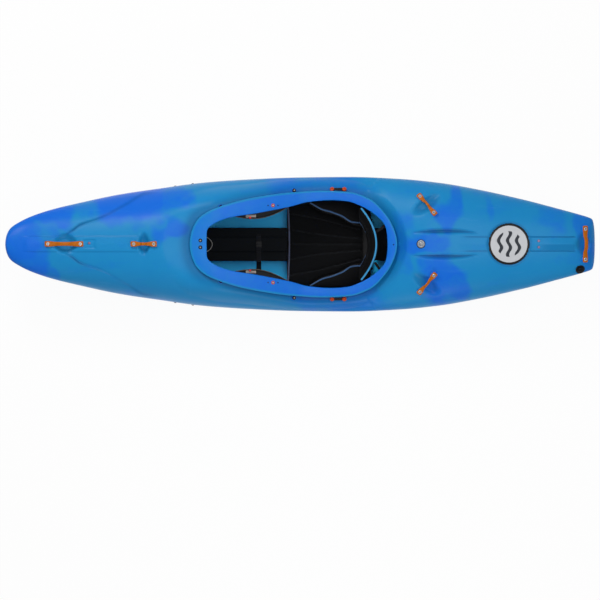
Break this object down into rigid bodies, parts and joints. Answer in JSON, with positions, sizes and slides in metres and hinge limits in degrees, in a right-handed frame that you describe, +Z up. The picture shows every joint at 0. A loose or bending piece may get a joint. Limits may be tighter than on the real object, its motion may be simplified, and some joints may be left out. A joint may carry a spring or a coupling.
{
  "type": "whitewater kayak",
  "caption": "Short rockered whitewater kayak: moulded shell with cockpit rim, grab handles, drain and padded cockpit outfitting.",
  "frame": {"origin": "on the ground under the middle of the hull, at the bottom centre of the bounding box", "axes": "+X towards the stern, +Y to starboard, +Z up"},
  "size_m": [2.75, 0.63, 0.4358],
  "materials": {
    "hull_plastic": "satin moulded polyethylene, blue swirled with turquoise",
    "handle_orange": "moulded orange-amber plastic",
    "black_plastic": "fine texture",
    "black_foam": "closed-cell foam, matt",
    "seat_fabric": "black woven nylon",
    "webbing": "woven webbing",
    "cord_grey": "braided cord",
    "bolt_steel": "stainless, satin",
    "badge_silver": "dull silver",
    "cap_orange": "orange-red plastic",
    "aluminium": "anodised",
    "ratchet_grey": "smooth light grey"
  },
  "bodies": {
    "hull": {"hull_shell": "hull_plastic", "bow_handle": "handle_orange", "front_deck_handle": "handle_orange", "rear_handle_starboard": "handle_orange", "rear_handle_port": "handle_orange", "stern_handle": "handle_orange", "bow_handle_bolt_front": "bolt_steel", "bow_handle_bolt_rear": "bolt_steel", "front_deck_handle_bolt_front": "bolt_steel", "front_deck_handle_bolt_rear": "bolt_steel", "rear_handle_starboard_bolt_front": "bolt_steel", "rear_handle_starboard_bolt_rear": "bolt_steel", "rear_handle_port_bolt_front": "bolt_steel", "rear_handle_port_bolt_rear": "bolt_steel", "stern_handle_bolt_front": "bolt_steel", "stern_handle_bolt_rear": "bolt_steel", "drain_housing": "black_plastic", "seat_pan": "black_plastic", "strap_buckle": "black_plastic", "front_pillar": "black_foam", "rear_pillar": "black_foam", "deck_badge": "badge_silver", "seat_pad": "seat_fabric", "pillar_strap": "webbing", "pillar_cord": "cord_grey", "hip_cap_starboard": "cap_orange", "thigh_bolt_starboard": "cap_orange", "rear_deck_bolt_starboard": "bolt_steel", "rim_bolt_starboard": "bolt_steel", "coaming_bolt_front_starboard": "bolt_steel", "coaming_bolt_middle_starboard": "bolt_steel", "rail_bolt_front_starboard": "bolt_steel", "rail_bolt_rear_starboard": "bolt_steel", "hip_pad_starboard": "seat_fabric", "thigh_brace_starboard": "black_plastic", "thigh_pad_starboard": "black_foam", "ratchet_base_starboard": "ratchet_grey", "footrest_rail_starboard": "aluminium", "hip_cap_port": "cap_orange", "thigh_bolt_port": "cap_orange", "rear_deck_bolt_port": "bolt_steel", "rim_bolt_port": "bolt_steel", "coaming_bolt_front_port": "bolt_steel", "coaming_bolt_middle_port": "bolt_steel", "rail_bolt_front_port": "bolt_steel", "rail_bolt_rear_port": "bolt_steel", "hip_pad_port": "seat_fabric", "thigh_brace_port": "black_plastic", "thigh_pad_port": "black_foam", "ratchet_base_port": "ratchet_grey", "footrest_rail_port": "aluminium"},
    "backband": {"backband_shell": "black_plastic", "backband_pad": "seat_fabric"},
    "footrest": {"footrest_plate": "black_plastic", "footrest_pad": "black_foam"},
    "ratchet_lever_starboard": {"ratchet_lever_starboard": "ratchet_grey"},
    "ratchet_lever_port": {"ratchet_lever_port": "ratchet_grey"},
    "drain_seal": {"drain_seal": "black_foam"},
    "drain_plug": {"drain_plug": "black_plastic"}
  },
  "joints": [
    {"name": "backband_tilt", "type": "hinge", "parent": "hull", "child": "backband", "pos_m": [0.322, 0, 0.206], "axis": [0, 1, 0], "range_deg": [-12, 10]},
    {"name": "footrest_slide", "type": "slide", "parent": "hull", "child": "footrest", "axis": [1, 0, 0], "range_m": [-0.06, 0.035]},
    {"name": "ratchet_lever_starboard_lift", "type": "hinge", "parent": "hull", "child": "ratchet_lever_starboard", "pos_m": [-0.24769, 0.1294, 0.37135], "axis": [-0.0728, -0.9521, -0.2971], "range_deg": [0, 50], "stiffness_Nm_per_rad": 0.01},
    {"name": "ratchet_lever_port_lift", "type": "hinge", "parent": "hull", "child": "ratchet_lever_port", "pos_m": [-0.24769, -0.1294, 0.37135], "axis": [0.0728, -0.9521, 0.2971], "range_deg": [0, 50], "stiffness_Nm_per_rad": 0.01},
    {"name": "drain_plug_lift", "type": "slide", "parent": "hull", "child": "drain_seal", "axis": [0.2533, -0.5311, 0.8085], "range_m": [0, 0.012]},
    {"name": "drain_plug_turn", "type": "hinge", "parent": "drain_seal", "child": "drain_plug", "pos_m": [1.306, -0.119, 0.30309], "axis": [0.2533, -0.5311, 0.8085], "range_deg": [0, 720]}
  ],
  "couplings": [
    {"joint": "drain_plug_turn", "follows": "drain_plug_lift", "rad_per_m": 1047.2}
  ]
}
